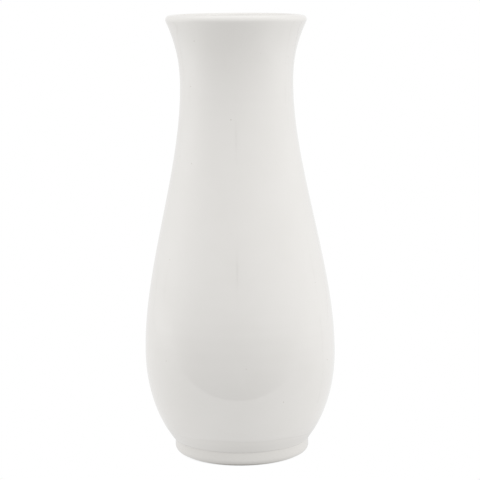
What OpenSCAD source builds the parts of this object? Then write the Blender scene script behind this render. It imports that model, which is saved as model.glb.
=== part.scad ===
// Bud vase of glazed porcelain: a slip-cast body with a flared, rolled lip, a
// narrow throat, a low round belly and a small turned foot ring.
//
// The vase stands on z = 0 with its axis on Z, and the origin is the centre of
// the standing ring. Every node is one section turned about Z. The sections
// share their border points, so each piece lies face to face on its neighbours.
// Dimensions of the lip, throat, belly, edge and ring are of the glazed surface.

/* [Lip and throat] */
// Height from the standing ring to the top of the lip
height = 140; // [130:1:160]
// Thickness of the wall with its glaze, and of the rolled lip that ends it
wall = 3; // [2.4:0.1:3.6]
// Radius at which the flare meets the rolled lip
lip_r = 22.15; // [21.6:0.05:24]
// Slope of the flare under the lip, in degrees from vertical
flare_angle = 24; // [18:1:28]
// Length of the lip's pull on the flare: a longer pull keeps it straight further
lip_pull = 7.9; // [6:0.1:9]
// Radius of the throat, the narrowest place
throat_r = 17.85; // [16:0.05:18.5]
// Height of the throat
throat_z = 118; // [112:1:122]
// Length of the throat's pull on the shoulder below it
shoulder_pull = 26.4; // [20:0.1:32]

/* [Belly and base] */
// Radius of the belly, the widest place
belly_r = 30.5; // [28:0.1:33]
// Height of the belly
belly_z = 32.8; // [30:0.1:36]
// Length of the belly's pull on the shoulder above it
belly_pull = 27.5; // [22:0.1:32]
// Radius of the edge where the body turns under to the foot ring
base_r = 22.2; // [22.1:0.05:23.5]
// Height of that edge
base_z = 4.7; // [4.2:0.1:5.6]
// Slope of the body just above that edge, in degrees from vertical
undercut_angle = 36; // [30:1:38]
// Length of the edge's pull on the body above it
base_pull = 13.6; // [10:0.1:14]
// Height of the inside floor
floor_z = 8.6; // [8:0.1:11]

/* [Foot ring] */
// Outer radius of the foot ring
ring_r = 21.55; // [20.5:0.05:21.6]
// Radius of the recess inside the foot ring
well_r = 17; // [15:0.1:17.6]
// Radius of the rounding from the ring's outside to its standing face
ring_round = 1.8; // [1.2:0.1:2]
// Radius of the rounding from the recess to the standing face
well_round = 1.4; // [1:0.1:1.5]
// Height of the bare clay band left where the glaze is wiped from the ring
bare_band = 0.45; // [0.2:0.05:0.8]

/* [Glaze and slip] */
// Thickness of the glaze on both sides of the wall
glaze = 0.3; // [0.2:0.05:0.4]
// Thickness of the slip that joins the foot ring to the body
slip = 0.25; // [0.15:0.05:0.3]
// Radius of the glaze that pools in the corners beside the foot ring
pool = 0.3; // [0.2:0.05:0.35]

/* [Hidden] */

CLAY = "#E6DFD4";
SLIP = "#D8CEC0";
GLAZE = "#F2F0EB";
TURN_FN = 96;
SAME_PLACE = 0.0001;

// Straight pieces that make up the flare, the shoulder and the undercut
SPAN_STEPS = [8, 18, 14];
// Straight pieces in the lip outside and inside its crest
LIP_STEPS = [8, 5];
// Straight pieces in a small round, in the bare part of one, and in the inside corner
ROUND_STEPS = 6;
BAND_STEPS = 3;
CORNER_STEPS = 6;
// How far along the undercut the inside wall starts to turn into the floor
CORNER_START = 0.72;

// The lip is a half round on the end of the wall, square to the flare.
lip_round = wall / 2;
lip_z = height - lip_round * (1 + sin(flare_angle));
lip_in = [-cos(flare_angle), sin(flare_angle)];
lip_centre = [lip_r, lip_z] + lip_round * lip_in;

// A pull that gives a span the curvature of its neighbour where the two meet.
// bulge is how far the span's far pull stands off the tangent line, and
// next_pull and next_bulge are the same two lengths of the neighbour.
function matched_pull(bulge, next_pull, next_bulge) = next_pull * sqrt(max(bulge, 0.02) / next_bulge);

drop = belly_r - throat_r;
throat_pull = matched_pull(lip_r - lip_pull * sin(flare_angle) - throat_r, shoulder_pull, drop);
undercut_pull = matched_pull(belly_r - base_r - base_pull * sin(undercut_angle), belly_pull, drop);

// The glazed outside from lip to base, as three cubic curves that meet smoothly
// at the throat and the belly. Each is its two ends and the pulls between them.
lip = [lip_r, lip_z];
throat = [throat_r, throat_z];
belly = [belly_r, belly_z];
base = [base_r, base_z];
SPANS = [
    [lip, lip - lip_pull * [sin(flare_angle), cos(flare_angle)], throat + [0, throat_pull], throat],
    [throat, throat - [0, shoulder_pull], belly + [0, belly_pull], belly],
    [belly, belly - [0, undercut_pull], base + base_pull * [sin(undercut_angle), cos(undercut_angle)], base]
];

function curve_point(s, t) =
    s[0] * pow(1 - t, 3) + s[1] * 3 * t * pow(1 - t, 2) + s[2] * 3 * t * t * (1 - t) + s[3] * pow(t, 3);
function curve_way(s, t) =
    let (way = (s[1] - s[0]) * pow(1 - t, 2) + (s[2] - s[1]) * 2 * t * (1 - t) + (s[3] - s[2]) * t * t)
    way / norm(way);

// A point of span s at a depth into the wall, square to the glazed surface
function wall_point(s, t, depth) =
    let (way = curve_way(s, t))
    curve_point(s, t) + depth * [way.y, -way.x];

// The surface at a depth, from the lip down to a place along the last span
function wall_line(depth, last = 1) = [
    for (k = [0:2], i = [0:SPAN_STEPS[k]])
        wall_point(SPANS[k], (k == 2 ? last : 1) * i / SPAN_STEPS[k], depth)
];

// Points of an arc with two radii about a centre, from one angle to another
function arc(centre, rx, ry, from, to, steps) = [
    for (i = [0:steps])
        let (a = from + (to - from) * i / steps)
        centre + [rx * cos(a), ry * sin(a)]
];

// The lip's half round at a depth: its outer and inner part, which meet at the crest
function lip_outer(depth) =
    arc(lip_centre, lip_round - depth, lip_round - depth, -flare_angle, 90, LIP_STEPS[0]);
function lip_inner(depth) =
    arc(lip_centre, lip_round - depth, lip_round - depth, 90, 180 - flare_angle, LIP_STEPS[1]);

// The inside at a depth from the outside, from the lip down the wall, round the
// corner and along the floor to the axis
function inside_line(depth, floor_height) =
    let (
        way = curve_way(SPANS[2], CORNER_START),
        start = wall_point(SPANS[2], CORNER_START, depth),
        reach = (start.y - floor_height) / -way.y,
        corner = start + reach * way,
        end = corner - [reach, 0]
    )
    concat(
        wall_line(depth, CORNER_START),
        [for (i = [1:CORNER_STEPS])
            let (t = i / CORNER_STEPS)
            start * pow(1 - t, 2) + corner * 2 * t * (1 - t) + end * t * t],
        [[0, floor_height]]
    );

// Places under the body: the clay's own lower edge, the glaze below it, and the slip
clay_edge = wall_point(SPANS[2], 1, glaze);
body_under = clay_edge.y;
glaze_under = body_under - glaze;
ring_top = body_under - slip;

// The roundings of the foot ring. The glaze on them thins out towards the
// standing face, so its surface is a true round and the clay below it is an oval:
// depth is 0 on the glaze and the glaze's thickness on the clay. The glaze ends
// at the bare band, where the angle is wipe_angle, and the clay goes on to 90.
function wipe_angle(r) = asin((r - bare_band) / r);
function outer_round(depth, from, to, steps) =
    arc([ring_r - ring_round, ring_round], ring_round - depth, ring_round, -from, -to, steps);
function well_side_round(depth, from, to, steps) =
    arc([well_r + well_round, well_round], depth - well_round, well_round, -from, -to, steps);
function outer_glazed(depth) = outer_round(depth, 0, wipe_angle(ring_round), ROUND_STEPS);
function well_glazed(depth) = well_side_round(depth, 0, wipe_angle(well_round), ROUND_STEPS);

function reversed(points) = [for (i = [len(points) - 1:-1:0]) points[i]];

// A closed section turned about Z. Where two of its curves meet, both end on
// the same point, and it is kept once.
module turned(points) {
    count = len(points);
    rotate_extrude($fn = TURN_FN)
        polygon([
            for (i = [0:count - 1])
                if (norm(points[(i + 1) % count] - points[i]) > SAME_PLACE) points[i]
        ]);
}

// The cast wall with its lip and floor, in one piece of clay
module porcelain_body() {
    color(CLAY)
        turned(concat(
            reversed(lip_outer(glaze)),
            wall_line(glaze),
            [[0, body_under]],
            reversed(inside_line(wall - glaze, floor_z - glaze)),
            reversed(lip_inner(glaze))
        ));
}

// The turned ring that the vase stands on
module foot_ring() {
    color(CLAY)
        turned(concat(
            [[ring_r - glaze, ring_top]],
            outer_glazed(glaze),
            outer_round(glaze, wipe_angle(ring_round), 90, BAND_STEPS),
            reversed(well_side_round(glaze, wipe_angle(well_round), 90, BAND_STEPS)),
            reversed(well_glazed(glaze)),
            [[well_r + glaze, ring_top]]
        ));
}

// The thin layer of slip that joins the ring to the underside of the body
module luting_slip() {
    color(SLIP)
        turned([
            [well_r + glaze, ring_top],
            [ring_r - glaze, ring_top],
            [ring_r - glaze, body_under],
            [well_r + glaze, body_under]
        ]);
}

// The coat outside: lip crest, body, the step under its edge, and the ring's side
module outer_glaze() {
    color(GLAZE)
        turned(concat(
            reversed(lip_outer(0)),
            wall_line(0),
            arc(clay_edge, glaze, glaze, -undercut_angle, -90, ROUND_STEPS),
            arc([ring_r + pool, glaze_under - pool], pool, pool, 90, 180, ROUND_STEPS),
            outer_glazed(0),
            reversed(outer_glazed(glaze)),
            [[ring_r - glaze, body_under]],
            reversed(wall_line(glaze)),
            lip_outer(glaze)
        ));
}

// The coat inside: lip crest, wall and floor
module inner_glaze() {
    color(GLAZE)
        turned(concat(
            lip_inner(0),
            inside_line(wall, floor_z),
            reversed(inside_line(wall - glaze, floor_z - glaze)),
            reversed(lip_inner(glaze))
        ));
}

// The coat in the recess under the base: its ceiling and the ring's inner side
module foot_well_glaze() {
    color(GLAZE)
        turned(concat(
            [[0, glaze_under]],
            arc([well_r - pool, glaze_under - pool], pool, pool, 90, 0, ROUND_STEPS),
            well_glazed(0),
            reversed(well_glazed(glaze)),
            [[well_r + glaze, body_under], [0, body_under]]
        ));
}

porcelain_body();
foot_ring();
luting_slip();
outer_glaze();
inner_glaze();
foot_well_glaze();
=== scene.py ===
import math
from itertools import pairwise

import bpy
import numpy as np
from mathutils import Matrix, Vector, noise


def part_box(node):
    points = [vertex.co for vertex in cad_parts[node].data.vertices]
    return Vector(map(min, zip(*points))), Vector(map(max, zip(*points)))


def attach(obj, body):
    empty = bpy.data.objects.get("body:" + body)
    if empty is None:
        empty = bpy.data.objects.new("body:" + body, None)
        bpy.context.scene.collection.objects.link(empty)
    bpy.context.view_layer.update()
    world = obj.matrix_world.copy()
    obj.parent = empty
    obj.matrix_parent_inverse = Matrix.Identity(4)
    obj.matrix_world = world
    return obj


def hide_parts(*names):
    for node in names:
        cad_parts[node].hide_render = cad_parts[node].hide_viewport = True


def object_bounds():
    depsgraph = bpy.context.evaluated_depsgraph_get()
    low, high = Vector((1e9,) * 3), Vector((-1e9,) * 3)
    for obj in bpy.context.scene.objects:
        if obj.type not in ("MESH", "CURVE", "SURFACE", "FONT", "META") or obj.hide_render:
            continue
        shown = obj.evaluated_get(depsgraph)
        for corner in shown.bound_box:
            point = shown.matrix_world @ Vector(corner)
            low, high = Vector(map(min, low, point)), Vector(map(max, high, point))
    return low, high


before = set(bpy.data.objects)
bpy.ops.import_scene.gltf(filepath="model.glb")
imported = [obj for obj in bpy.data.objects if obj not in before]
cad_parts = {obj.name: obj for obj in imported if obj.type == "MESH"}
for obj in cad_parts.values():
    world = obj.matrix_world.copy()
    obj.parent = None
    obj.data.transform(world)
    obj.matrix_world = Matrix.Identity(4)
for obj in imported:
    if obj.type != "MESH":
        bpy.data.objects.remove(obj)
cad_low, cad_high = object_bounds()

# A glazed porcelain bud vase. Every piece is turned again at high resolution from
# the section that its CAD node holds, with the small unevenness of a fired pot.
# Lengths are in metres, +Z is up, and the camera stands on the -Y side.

MM = 0.001


# ---------------------------------------------------------------- sections

# Places nearer than this are one place
SAME_PLACE = 0.01 * MM
# Places that agree to this many digits are found again without a search
KEY_DIGITS = 7
# A line that turns more than this has a corner there
CORNER = math.radians(25)
# A piece of line that is this many times longer than the next one is a straight
UNEVEN = 3

# Steps are short on the foot, which is below one height and outside one radius
LONGEST_STEP = 1.6 * MM
SHARPEST_STEP = math.radians(5)
FOOT_STEP = 0.3 * MM
FOOT_BELOW = 11 * MM
FOOT_OUTSIDE = 11 * MM


def section_of(node):
    """The section of a turned CAD node: its (radius, height) places, in order round it.

    Also says whether the section is a closed ring. If it isn't, it runs from axis to axis.
    """
    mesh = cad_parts[node].data
    places, place_at, index = [], {}, []
    for vertex in mesh.vertices:
        place = Vector((math.hypot(vertex.co.x, vertex.co.y), vertex.co.z))
        key = (round(place.x, KEY_DIGITS), round(place.y, KEY_DIGITS))
        if key not in place_at:
            near = [i for i, other in enumerate(places) if (other - place).length < SAME_PLACE]
            if not near:
                near = [len(places)]
                places.append(place)
            place_at[key] = near[0]
        index.append(place_at[key])

    beside = [set() for _ in places]
    for edge in mesh.edges:
        a, b = (index[i] for i in edge.vertices)
        if a != b:
            beside[a].add(b)
            beside[b].add(a)

    ends = [i for i, others in enumerate(beside) if len(others) == 1]
    order = [ends[0] if ends else 0]
    while True:
        onward = [i for i in beside[order[-1]] if i not in order]
        if not onward:
            break
        order.append(onward[0])
    line = [places[i] for i in order]
    if ends:
        line = [Vector((0, line[0].y)), *line, Vector((0, line[-1].y))]
    return line, not ends


def direction(way):
    return way / np.linalg.norm(way)


def angle_between(a, b):
    return math.acos(max(-1.0, min(1.0, float(a @ b))))


def mirrored(way, about):
    return 2 * (way @ about) * about - way


def steps_between(a, b, start, end):
    """How many steps a curve takes from a to b: short ones at the foot and on tight rounds."""
    on_foot = max(a[1], b[1]) < FOOT_BELOW and min(a[0], b[0]) > FOOT_OUTSIDE
    for_length = math.ceil(np.linalg.norm(b - a) / (FOOT_STEP if on_foot else LONGEST_STEP))
    for_turn = math.ceil(angle_between(start, end) / SHARPEST_STEP)
    return max(for_length, for_turn, 1)


def smoothed(line, closed):
    """The section with its curves restored between the places, and its corners kept.

    At a place on a curve, the tangent is that of the circle through it and its neighbours.
    Where a long straight meets a short piece of a round, it is the straight's own.
    """
    points = np.array(line)
    count = len(points)
    chords = [points[(i + 1) % count] - points[i] for i in range(count if closed else count - 1)]
    lengths = [float(np.linalg.norm(c)) for c in chords]
    ways = [c / n for c, n in zip(chords, lengths)]

    starts, ends = list(ways), list(ways)
    for i in range(len(chords)):
        j = (i + 1) % len(chords)
        if not closed and j == 0:
            continue
        if angle_between(ways[i], ways[j]) > CORNER:
            starts[j] = ends[i] = None
        elif lengths[i] > UNEVEN * lengths[j]:
            starts[j] = ends[i] = ways[i]
        elif lengths[j] > UNEVEN * lengths[i]:
            starts[j] = ends[i] = ways[j]
        else:
            starts[j] = ends[i] = direction(ways[i] * lengths[j] + ways[j] * lengths[i])

    made = []
    for i, (way, length) in enumerate(zip(ways, lengths)):
        here, there = points[i], points[(i + 1) % count]
        start, end = starts[i], ends[i]
        if start is None and end is None:
            start = end = way
        elif start is None:
            start = mirrored(end, way)
        elif end is None:
            end = mirrored(start, way)
        steps = steps_between(here, there, start, end)
        for k in range(steps):
            t = k / steps
            made.append(
                here * (2 * t**3 - 3 * t**2 + 1)
                + start * length * (t**3 - 2 * t**2 + t)
                + there * (3 * t**2 - 2 * t**3)
                + end * length * (t**3 - t**2)
            )
    if not closed:
        made.append(points[-1])
    return np.array(made)


# ---------------------------------------------------------------- unevenness

# The body leans towards -X by this much for each unit of height, and its wall isn't quite even
LEAN = 0.0056
SWELL = 0.018 * MM
SWELL_SIZE = 19 * MM
RIPPLE = 0.004 * MM
RIPPLE_SIZE = 6 * MM

# The band that was trimmed round the body just above the foot ring
ring_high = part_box("foot_ring")[1]
TRIM_FROM = ring_high.z
TRIM_TO = 8.8 * MM
TRIM_DIP = 1.2 * MM
TRIM_WAVE = 0.45 * MM
TRIM_WAVE_SIZE = 14 * MM
TRIM_EDGE = 0.35 * MM
TRIM_DEPTH = 0.08 * MM

# The glaze colour is darker on the ring and less so in the band, partly as thicker glaze and partly as
# painted shade; the band's -X end is not darkened, which is painted light
BAND_POOLED_AND_SHADED = 0.7
# Painted light: the band's colour is left light towards the -X end, where more light falls
LIT_SIDE_FROM = 0.5
LIT_SIDE_TO = 0.95

# The rim sags a little on the +X side, and less on the other
rim_top = cad_high.z
RIM_DEEP = 8 * MM
RIM_SAG = 0.30 * MM
RIM_SAG_LEFT = 0.15 * MM

# The mouth is a little out of round: its flare opens less on the -X side
FLARE_DEEP = 12 * MM
FLARE_LESS = 0.22 * MM

# The ring is luted on a little off centre
RING_OFF = 0.18 * MM
RING_BLEND = 0.3 * MM

# Nearer to the axis than this, a place isn't on any side
NEAR_AXIS = 1 * MM


def smoothstep(low, high, value):
    t = max(0.0, min(1.0, (value - low) / (high - low)))
    return t * t * (3 - 2 * t)


def side_of(place):
    """1 on the +X side, -1 on the -X side, and 0 half-way between them."""
    return place.x / max(math.hypot(place.x, place.y), NEAR_AXIS)


def trimmed(place):
    """How far a place is inside the trimmed band: 0 outside it, and 1 well within it."""
    upper = TRIM_TO + TRIM_WAVE * noise.noise(Vector((place.x, place.y, 0)) / TRIM_WAVE_SIZE)
    upper -= TRIM_DIP * side_of(place) ** 2
    above = smoothstep(upper - TRIM_EDGE / 2, upper + TRIM_EDGE / 2, place.z)
    below = smoothstep(TRIM_FROM, TRIM_FROM - TRIM_EDGE / 2, place.z)
    return (1 - above) * (1 - below)


def on_ring(place):
    """1 on the foot ring, and 0 on the body above it."""
    return 1 - smoothstep(TRIM_FROM - RING_BLEND, TRIM_FROM + RING_BLEND, place.z)


def pooled_and_shaded(place):
    """How much darker the glaze colour is made, partly as thicker glaze and partly as painted shade: most
    on the ring, and less in the band above it.
    """
    # Painted light: towards the -X end the band is not darkened, as more light falls there
    lit_side = smoothstep(LIT_SIDE_FROM, LIT_SIDE_TO, -side_of(place))
    return max(BAND_POOLED_AND_SHADED * trimmed(place) * (1 - lit_side), on_ring(place))


def fired(place):
    """Where a place of the true round form ends up on the fired pot.

    The body leans a little towards -X, its wall swells and ripples by a few hundredths
    of a millimetre, the trimmed band is cut in, the ring sits off centre, the rim sags
    and the mouth is out of round.
    """
    x, y, z = place
    radius = math.hypot(x, y)
    if radius > NEAR_AXIS:
        side = side_of(place)
        swell = SWELL * noise.noise(place / SWELL_SIZE) + RIPPLE * noise.noise(place / RIPPLE_SIZE)
        swell -= TRIM_DEPTH * trimmed(place)
        deepest = RIM_SAG if side > 0 else RIM_SAG_LEFT
        sag = deepest * smoothstep(rim_top - RIM_DEEP, rim_top, z) * abs(side) ** 3
        less = FLARE_LESS * smoothstep(rim_top - FLARE_DEEP, rim_top, z) * max(-side, 0) ** 2
        x += swell * x / radius + less
        y += swell * y / radius
        z -= sag
    return Vector((x - LEAN * place.z + RING_OFF * on_ring(place), y, z))


# ---------------------------------------------------------------- turning

SEGMENTS = 240
SHARP_EDGE = math.radians(35)
# Per-vertex share of the darker glaze colour at the foot: partly thicker glaze, partly painted shade
POOLED_AND_SHADED = "pooled_and_shaded"


def turned(name, node):
    """A closed mesh turned from the node's section, with the unevenness of the fired pot."""
    line, closed = section_of(node)
    section = smoothed(line, closed)
    places, rings = [], []
    for radius, height in section:
        count = 1 if radius < SAME_PLACE else SEGMENTS
        rings.append(range(len(places), len(places) + count))
        for k in range(count):
            turn = math.tau * k / count
            places.append(Vector((radius * math.cos(turn), radius * math.sin(turn), height)))

    faces = []
    pairs = list(pairwise(rings)) + ([(rings[-1], rings[0])] if closed else [])
    for a, b in pairs:
        for k in range(SEGMENTS):
            n = (k + 1) % SEGMENTS
            if len(a) == 1:
                faces.append((a[0], b[n], b[k]))
            elif len(b) == 1:
                faces.append((a[k], a[n], b[0]))
            else:
                faces.append((a[k], a[n], b[n], b[k]))

    mesh = bpy.data.meshes.new(name)
    mesh.from_pydata([fired(place) for place in places], [], faces)
    mesh.attributes.new(POOLED_AND_SHADED, "FLOAT", "POINT").data.foreach_set("value", [pooled_and_shaded(p) for p in places])
    area = sum(a[0] * b[1] - b[0] * a[1] for a, b in zip(section, np.roll(section, -1, axis=0)))
    if area > 0:
        mesh.flip_normals()
    mesh.shade_smooth()
    mesh.set_sharp_from_angle(angle=SHARP_EDGE)
    piece = bpy.data.objects.new(name, mesh)
    bpy.context.scene.collection.objects.link(piece)
    return piece


# ---------------------------------------------------------------- materials

class Nodes:
    """A material's node tree, with short ways to add to it."""

    def __init__(self, name):
        self.material = bpy.data.materials.new(name)
        self.material.use_nodes = True
        self.tree = self.material.node_tree
        self.shader = self.tree.nodes["Principled BSDF"]
        self.coordinates = self.add("ShaderNodeTexCoord").outputs["Object"]

    def add(self, kind, **settings):
        node = self.tree.nodes.new(kind)
        for key, value in settings.items():
            setattr(node, key, value)
        return node

    def join(self, output, socket):
        self.tree.links.new(output, socket)

    def noise(self, size, detail=2.0, roughness=0.5):
        node = self.add("ShaderNodeTexNoise")
        node.inputs["Scale"].default_value = 1 / size
        node.inputs["Detail"].default_value = detail
        node.inputs["Roughness"].default_value = roughness
        self.join(self.coordinates, node.inputs["Vector"])
        return node.outputs["Fac"]

    def mapped(self, value, low, high, to_low=0.0, to_high=1.0, smooth=False):
        node = self.add("ShaderNodeMapRange")
        node.interpolation_type = "SMOOTHSTEP" if smooth else "LINEAR"
        self.join(value, node.inputs["Value"])
        for key, number in zip(("From Min", "From Max", "To Min", "To Max"), (low, high, to_low, to_high)):
            node.inputs[key].default_value = number
        return node.outputs["Result"]

    def math(self, operation, a, b):
        node = self.add("ShaderNodeMath", operation=operation)
        for socket, value in zip(node.inputs, (a, b)):
            if isinstance(value, (int, float)):
                socket.default_value = value
            else:
                self.join(value, socket)
        return node.outputs["Value"]

    def mixed(self, share, a, b):
        node = self.add("ShaderNodeMix", data_type="RGBA")
        self.join(share, node.inputs["Factor"])
        for key, value in (("A", a), ("B", b)):
            socket = [s for s in node.inputs if s.name == key and s.type == "RGBA"][0]
            if isinstance(value, tuple):
                socket.default_value = (*value, 1.0)
            else:
                self.join(value, socket)
        return [s for s in node.outputs if s.type == "RGBA"][0]

    def bump(self, height, distance):
        node = self.add("ShaderNodeBump")
        node.inputs["Distance"].default_value = distance
        node.inputs["Strength"].default_value = 1.0
        self.join(height, node.inputs["Height"])
        self.join(node.outputs["Normal"], self.shader.inputs["Normal"])


# The glaze. Clouds and roughness follow soft noise, between the values given here.
GLAZE_COLOUR = (0.772, 0.756, 0.731)
GLAZE_IOR = 1.5
# Darker glaze colour on the foot ring and the band above it: partly thicker glaze, partly painted shade
POOL_AND_SHADE_COLOUR = (0.736, 0.719, 0.689)
CLOUD_COLOUR = (0.760, 0.744, 0.717)
CLOUD_SIZE = 14 * MM
CLOUD_FROM, CLOUD_TO = 0.4, 0.7
SHEEN_SIZE = 9 * MM
SHEEN_FROM, SHEEN_TO = 0.3, 0.7
SMOOTHEST, ROUGHEST = 0.015, 0.035

# The deepest relief is a pinhole's, and the orange peel has a share of it
RELIEF = 0.05 * MM
PEEL_SIZE = 2.5 * MM
PEEL_SHARE = 0.2

# Pinholes stand in some of the cells of a pattern. Their flat middle is a share of the radius.
PINHOLE_COLOUR = (0.42, 0.38, 0.32)
PINHOLE_SPACING = 5.3 * MM
PINHOLE_RADIUS = 0.15 * MM
PINHOLE_MIDDLE = 0.6

BISQUE_COLOUR = (0.62, 0.58, 0.52)
BISQUE_ROUGHNESS = 0.85
SLIP_SHADE = 0.92
GRAIN_SIZE = 0.35 * MM
GRAIN_SHADE = 0.86


def shaded(colour, shade):
    return tuple(shade * part for part in colour)


def glaze_material():
    """Glossy white glaze: faint clouds, a foot darkened partly as thicker glaze and partly as painted
    shade, orange peel and pinholes.
    """
    n = Nodes("white_glaze")
    clouds = n.mapped(n.noise(CLOUD_SIZE, detail=3.0), CLOUD_FROM, CLOUD_TO)
    colour = n.mixed(clouds, GLAZE_COLOUR, CLOUD_COLOUR)
    pooling_and_shade = n.add("ShaderNodeAttribute", attribute_name=POOLED_AND_SHADED).outputs["Fac"]
    # Painted shade, partly thicker glaze: the foot ring and the band above it are darkened in colour
    colour = n.mixed(pooling_and_shade, colour, POOL_AND_SHADE_COLOUR)

    cells = n.add("ShaderNodeTexVoronoi", feature="F1")
    cells.inputs["Scale"].default_value = 1 / PINHOLE_SPACING
    n.join(n.coordinates, cells.inputs["Vector"])
    edge = PINHOLE_RADIUS / PINHOLE_SPACING
    pinholes = n.mapped(cells.outputs["Distance"], PINHOLE_MIDDLE * edge, edge, 1.0, 0.0, smooth=True)
    colour = n.mixed(pinholes, colour, PINHOLE_COLOUR)

    n.join(colour, n.shader.inputs["Base Color"])
    roughness = n.mapped(n.noise(SHEEN_SIZE, detail=3.0), SHEEN_FROM, SHEEN_TO, SMOOTHEST, ROUGHEST)
    n.join(roughness, n.shader.inputs["Roughness"])
    n.shader.inputs["IOR"].default_value = GLAZE_IOR
    orange_peel = n.math("MULTIPLY", n.noise(PEEL_SIZE, detail=1.0), PEEL_SHARE)
    n.bump(n.math("SUBTRACT", orange_peel, pinholes), RELIEF)
    return n.material


def bisque_material(name, colour):
    """Fired clay without glaze: matte, fine-grained and a little speckled."""
    n = Nodes(name)
    grain = n.noise(GRAIN_SIZE, detail=4.0, roughness=0.7)
    n.join(n.mixed(grain, colour, shaded(colour, GRAIN_SHADE)), n.shader.inputs["Base Color"])
    n.shader.inputs["Roughness"].default_value = BISQUE_ROUGHNESS
    n.bump(grain, RELIEF)
    return n.material


# ---------------------------------------------------------------- pieces

glaze = glaze_material()
bisque = bisque_material("bare_clay", BISQUE_COLOUR)
slip = bisque_material("bare_slip", shaded(BISQUE_COLOUR, SLIP_SHADE))

PIECES = [
    ("cast_wall", "porcelain_body", "porcelain", bisque),
    ("standing_ring", "foot_ring", "porcelain", bisque),
    ("slip_joint", "luting_slip", "slip", slip),
    ("glaze_outside", "outer_glaze", "glaze", glaze),
    ("glaze_inside", "inner_glaze", "glaze", glaze),
    ("glaze_foot_well", "foot_well_glaze", "glaze", glaze),
]

for piece_name, node_name, slot_name, material in PIECES:
    made = turned(piece_name, node_name)
    made.data.materials.append(material)
    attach(made, "root")
    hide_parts(node_name)


# ---------------------------------------------------------------- stage

# Azimuths are degrees about the vase: 0 is the camera's side, 90 is +X, 180 is behind.
# Climbs are degrees above the horizon. The studio is made of glowing surfaces, each seen
# by one kind of ray, because fine reflections need a smoother light than a shared floor
# would give.

GLOW = "glow"
TURN_STEP = 5


def glowing_material(name):
    """Gives the light stored at each vertex. It isn't sampled as a lamp, because it is even."""
    material = bpy.data.materials.new(name)
    material.use_nodes = True
    tree = material.node_tree
    tree.nodes.clear()
    output = tree.nodes.new("ShaderNodeOutputMaterial")
    emission = tree.nodes.new("ShaderNodeEmission")
    stored = tree.nodes.new("ShaderNodeAttribute")
    stored.attribute_name = GLOW
    tree.links.new(stored.outputs["Fac"], emission.inputs["Strength"])
    tree.links.new(emission.outputs["Emission"], output.inputs["Surface"])
    material.cycles.emission_sampling = "NONE"
    return material


def glowing(name, places, faces, strength, seen_by):
    """A surface of light for one kind of ray: camera, diffuse or glossy.

    Its strength is one number, or a function of the place.
    """
    mesh = bpy.data.meshes.new(name)
    mesh.from_pydata(places, [], faces)
    mesh.materials.append(glowing_material(name))
    levels = [strength(*place) if callable(strength) else strength for place in places]
    mesh.attributes.new(GLOW, "FLOAT", "POINT").data.foreach_set("value", levels)
    surface = bpy.data.objects.new(name, mesh)
    bpy.context.scene.collection.objects.link(surface)
    surface.visible_camera = seen_by == "camera"
    surface.visible_diffuse = seen_by == "diffuse"
    surface.visible_glossy = seen_by == "glossy"
    surface.visible_transmission = False
    surface.visible_shadow = False


def grid_faces(columns, rows):
    """Faces of a grid of places that is stored column by column."""
    corners = [i * rows + j for i in range(columns - 1) for j in range(rows - 1)]
    return [(k, k + rows, k + rows + 1, k + 1) for k in corners]


def lobe(azimuth, centre, width):
    """A soft hump of light: 1 at its centre, and fading to either side."""
    return math.exp(-(((azimuth - centre + 180) % 360 - 180) / width) ** 2)


def azimuth_of(x, y):
    return math.degrees(math.atan2(x, -y))


def toward(azimuth, climb):
    """The direction of an azimuth and a climb."""
    a, e = math.radians(azimuth), math.radians(climb)
    return Vector((math.sin(a) * math.cos(e), -math.cos(a) * math.cos(e), math.sin(e)))


# What the glaze mirrors: a room with a soft box on either side, light straight behind and
# overhead, and a front that is dimmer low down.
SKY_RADIUS = 6.0
ROOM_LIGHT = 0.66
BOXES = {
    "left": (0.76, -90, 42),
    "right": (0.76, 76, 55),
    "behind": (0.26, 180, 35),
}
BOXES_FADE = 0.35
FRONT_FILL, FRONT_WIDTH, FRONT_RISE = 0.55, 80, 8
TOP_BOX, TOP_FROM, TOP_TO = 0.8, 35, 70


def sky_strength(x, y, z):
    azimuth = azimuth_of(x, y)
    level = math.hypot(x, y)
    climb = math.degrees(math.atan2(z, level))
    boxes = sum(box * lobe(azimuth, centre, width) for box, centre, width in BOXES.values())
    boxes *= (level / math.hypot(level, z)) ** BOXES_FADE
    fill = FRONT_FILL * lobe(azimuth, 0, FRONT_WIDTH) * (1 - math.exp(-climb / FRONT_RISE))
    top = TOP_BOX * smoothstep(TOP_FROM, TOP_TO, climb)
    return ROOM_LIGHT + boxes + fill + top


# The mirrored table is white behind a straight edge, and a little darker beside the foot, where the vase's
# shadow is painted into its glow.
# In front of the edge it is dark close to the vase. Both meet the sky far away.
TABLE_DROP = 0.05 * MM
EDGE_Y = -64.5 * MM
EDGE_SLOPE = -0.055
WHITE_NEAR = 0.92
WHITE_FAR_FROM = 80 * MM
WHITE_FAR_TO = 500 * MM
BESIDE_FOOT = 0.80
BESIDE_FROM = 21 * MM
BESIDE_TO = 42 * MM
DARKEST_AT = -7
DARK_SPREAD = 0.9
DARK_REACH = 330 * MM


def edge_y(x):
    return EDGE_Y + EDGE_SLOPE * x


def back_strength(x, y, z):
    away = math.hypot(x, y)
    # Painted shadow of the vase on the mirrored table, beside the foot
    white = WHITE_NEAR * (BESIDE_FOOT + (1 - BESIDE_FOOT) * smoothstep(BESIDE_FROM, BESIDE_TO, away))
    far = smoothstep(WHITE_FAR_FROM, WHITE_FAR_TO, away)
    return white + far * (sky_strength(x, y, 0) - white)


def front_strength(x, y, z):
    dark = max(math.cos(math.radians(azimuth_of(x, y) - DARKEST_AT)), 0) ** DARK_SPREAD
    dark /= 1 + max(math.hypot(x, y) + EDGE_Y, 0) / DARK_REACH
    return sky_strength(x, y, 0) * (1 - dark)


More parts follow.
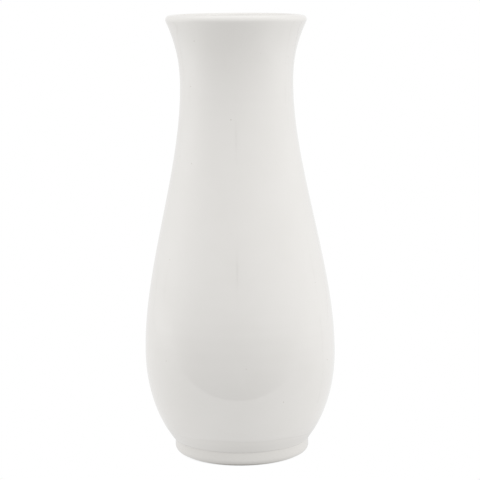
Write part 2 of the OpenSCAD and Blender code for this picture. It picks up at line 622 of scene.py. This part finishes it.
def spaced(reach, first, growth):
    """Distances from 0 to reach, close together at first and then wider apart."""
    steps = [0.0]
    while steps[-1] < reach:
        steps.append(steps[-1] + first)
        first *= growth
    return steps


def table_half(sign):
    """Places and faces of the table on one side of the edge: -1 is in front, and 1 is behind."""
    depths = spaced(SKY_RADIUS, first=8 * MM, growth=1.15)
    across = spaced(SKY_RADIUS, first=12 * MM, growth=1.12)
    columns = [-x for x in reversed(across[1:])] + across
    places = [(x, edge_y(x) + sign * depth, -TABLE_DROP) for x in columns for depth in depths]
    return places, grid_faces(len(columns), len(depths))


def ball(lowest):
    """Places and faces of a ball about the vase, from a climb up to the top."""
    turns = range(-180, 181, TURN_STEP)
    climbs = range(lowest, 91, TURN_STEP)
    places = [SKY_RADIUS * toward(a, e) for a in turns for e in climbs]
    return places, grid_faces(len(turns), len(climbs))


def disc(reaches, height):
    """Places and faces of a level disc about the vase, with a ring of places at each reach."""
    turns = range(-180, 181, TURN_STEP)
    places = [reach * toward(a, 0) + Vector((0, 0, height)) for a in turns for reach in reaches]
    return places, grid_faces(len(turns), len(reaches))


glowing("sky", *ball(0), sky_strength, "glossy")
glowing("table_front", *table_half(-1), front_strength, "glossy")
glowing("table_back", *table_half(1), back_strength, "glossy")

# Thin things that the glaze mirrors as fine streaks. Posts stand about the table: azimuth,
# lowest and highest place, width at the middle, strength. Lines lie on it: three places,
# strength.
POST_DISTANCE = 1000 * MM
POSTS = {
    "stand": (-3.2, 0 * MM, 340 * MM, 20 * MM, 0.50),
    "stand_head": (-2.4, 220 * MM, 340 * MM, 60 * MM, 0.05),
    "left_post": (-110.5, 0 * MM, 120 * MM, 22 * MM, 0.55),
    "right_post": (115.5, 0 * MM, 160 * MM, 22 * MM, 0.45),
}
LINE_WIDTH = 0.022
LINES = {
    "left_edge": ((-228 * MM, 48 * MM), (-318 * MM, 260 * MM), (-1175 * MM, 1215 * MM), 0.60),
    "right_edge": ((53 * MM, 6 * MM), (356 * MM, 157 * MM), (652 * MM, 303 * MM), 0.50),
    "right_far_edge": ((242 * MM, 172 * MM), (385 * MM, 586 * MM), (976 * MM, 1985 * MM), 0.60),
    "paper_edge": ((7.6 * MM, -71 * MM), (2.8 * MM, -130 * MM), (-2 * MM, -196 * MM), 0.55),
}


def post_card(azimuth, low, high, width):
    """Places and faces of an upright card that narrows to both ends, facing the vase."""
    foot = POST_DISTANCE * toward(azimuth, 0)
    across = toward(azimuth + 90, 0) * width / 2
    up = Vector((0, 0, 1))
    middle = foot + (low + high) / 2 * up
    return [foot + low * up, middle - across, foot + high * up, middle + across], [(0, 1, 2, 3)]


def table_line(points):
    """Places and faces of a strip on the table that looks equally wide all along from the vase."""
    places = []
    for x, y in points:
        across = toward(azimuth_of(x, y) + 90, 0) * LINE_WIDTH * math.hypot(x, y) / 2
        places += [Vector((x, y, 0)) - across, Vector((x, y, 0)) + across]
    return places, [(k, k + 2, k + 3, k + 1) for k in range(0, len(places) - 2, 2)]


for post_name, (*shape, strength) in POSTS.items():
    glowing(post_name, *post_card(*shape), strength, "glossy")
for line_name, (*points, strength) in LINES.items():
    glowing(line_name, *table_line(points), strength, "glossy")

# What lights the clay and the glaze: an even glow all round that is dimmer behind, over the
# dark part of the table and under the foot, and soft lamps. Two of the lamps are low, for
# the light that the white table throws up from behind. Lamps: azimuth, climb, strength.
FILL_ABOVE = 0.88
FILL_BELOW = 0.815
BEHIND_DIM, BEHIND_WIDTH = 0.35, 55
TABLE_DIM, TABLE_DIM_REACH = 0.44, 165 * MM
SHADE_FROM = ring_high.x - 3.2 * MM
SHADE_TO = ring_high.x - 1.2 * MM
SHADE_RADIUS = 30 * MM
SHADE_RINGS = 64
FRONT_SHADE, FRONT_SHADE_WIDTH = 0.36, 65
LAMP_WIDTH = math.radians(25)
LAMPS = {
    "above": (0, 90, 0.35),
    "front": (0, 20, 0.08),
    "left_high": (-60, 35, 0.14),
    "left_level": (-90, 0, 0.14),
    "left_behind": (-120, 35, 0.33),
    "left_low": (-115, -30, 0.29),
    "right_high": (60, 35, 0.32),
    "right_level": (90, 0, 0.29),
    "right_behind": (120, 35, 0.22),
    "right_low": (120, -30, 0.24),
}


def fill_strength(x, y, z):
    fill = FILL_ABOVE if z > 0 else FILL_BELOW
    return fill * (1 - BEHIND_DIM * lobe(azimuth_of(x, y), 180, BEHIND_WIDTH))


def dim_strength(x, y, z):
    return FILL_BELOW * (1 - TABLE_DIM * math.exp(-(math.hypot(x, y) / TABLE_DIM_REACH) ** 4))


def shade_strength(x, y, z):
    """Dark below the foot, and a little dim in front of it."""
    away = math.hypot(x, y)
    front = FRONT_SHADE * lobe(azimuth_of(x, y), 0, FRONT_SHADE_WIDTH)
    front *= 1 - smoothstep(ring_high.x, SHADE_RADIUS, away)
    return FILL_BELOW * smoothstep(SHADE_FROM, SHADE_TO, away) * (1 - front)


shade_reaches = [SHADE_RADIUS * k / SHADE_RINGS for k in range(SHADE_RINGS + 1)]
glowing("fill", *ball(-90), fill_strength, "diffuse")
glowing("dimmed_table", *table_half(-1), dim_strength, "diffuse")
glowing("shade", *disc(shade_reaches, -TABLE_DROP), shade_strength, "diffuse")
for lamp_name, (azimuth, climb, strength) in LAMPS.items():
    lamp_data = bpy.data.lights.new(lamp_name, "SUN")
    lamp_data.energy = strength
    lamp_data.angle = LAMP_WIDTH
    lamp = bpy.data.objects.new(lamp_name, lamp_data)
    lamp.rotation_euler = toward(azimuth, climb).to_track_quat("Z", "Y").to_euler()
    lamp.visible_glossy = False
    bpy.context.scene.collection.objects.link(lamp)

# The pale floor and background that the camera sees. A painted contact shadow darkens the
# floor only in a thin line where the front of the ring meets it.
FLOOR_LIGHT = 1.0
FLOOR_REACH = 5.9
CONTACT_FROM = ring_high.x - 1.2 * MM
CONTACT_TO = ring_high.x - 0.2 * MM
CONTACT_RINGS = 10
CONTACT_DARK, CONTACT_WIDTH = 0.9, 36


def floor_strength(x, y, z):
    # Painted contact shadow, only in front of the ring
    dark = CONTACT_DARK * lobe(azimuth_of(x, y), 0, CONTACT_WIDTH)
    return FLOOR_LIGHT * (1 - dark * (1 - smoothstep(CONTACT_FROM, CONTACT_TO, math.hypot(x, y))))


contact_step = (CONTACT_TO - CONTACT_FROM) / CONTACT_RINGS
contact_reaches = [CONTACT_FROM + k * contact_step for k in range(CONTACT_RINGS + 1)]
glowing("floor", *disc([0, *contact_reaches, FLOOR_REACH], 0), floor_strength, "camera")

world = bpy.data.worlds.new("studio")
bpy.context.scene.world = world
world.use_nodes = True
background = world.node_tree.nodes["Background"]
background.inputs["Color"].default_value = (1.0, 1.0, 1.0, 1.0)
background.inputs["Strength"].default_value = FLOOR_LIGHT
world.cycles_visibility.diffuse = False
world.cycles_visibility.glossy = False
bpy.context.scene.view_settings.view_transform = "Standard"


# ---------------------------------------------------------------- camera

CAMERA_SIDE = 0.04 * MM
CAMERA_DISTANCE = 532.1 * MM
CAMERA_HEIGHT = 150.5 * MM
CAMERA_PITCH = math.radians(8.77)
CAMERA_ROLL = math.radians(0.45)
CAMERA_LENS = 126.37
CAMERA_SENSOR = 36
CAMERA_NEAR = 0.01
CAMERA_FAR = 100

camera_data = bpy.data.cameras.new("camera")
camera_data.lens = CAMERA_LENS
camera_data.sensor_width = CAMERA_SENSOR
camera_data.clip_start = CAMERA_NEAR
camera_data.clip_end = CAMERA_FAR
camera = bpy.data.objects.new("camera", camera_data)
bpy.context.scene.collection.objects.link(camera)
camera.matrix_world = (
    Matrix.Translation((CAMERA_SIDE, -CAMERA_DISTANCE, CAMERA_HEIGHT))
    @ Matrix.Rotation(math.pi / 2 - CAMERA_PITCH, 4, "X")
    @ Matrix.Rotation(-CAMERA_ROLL, 4, "Z")
)
bpy.context.scene.camera = camera
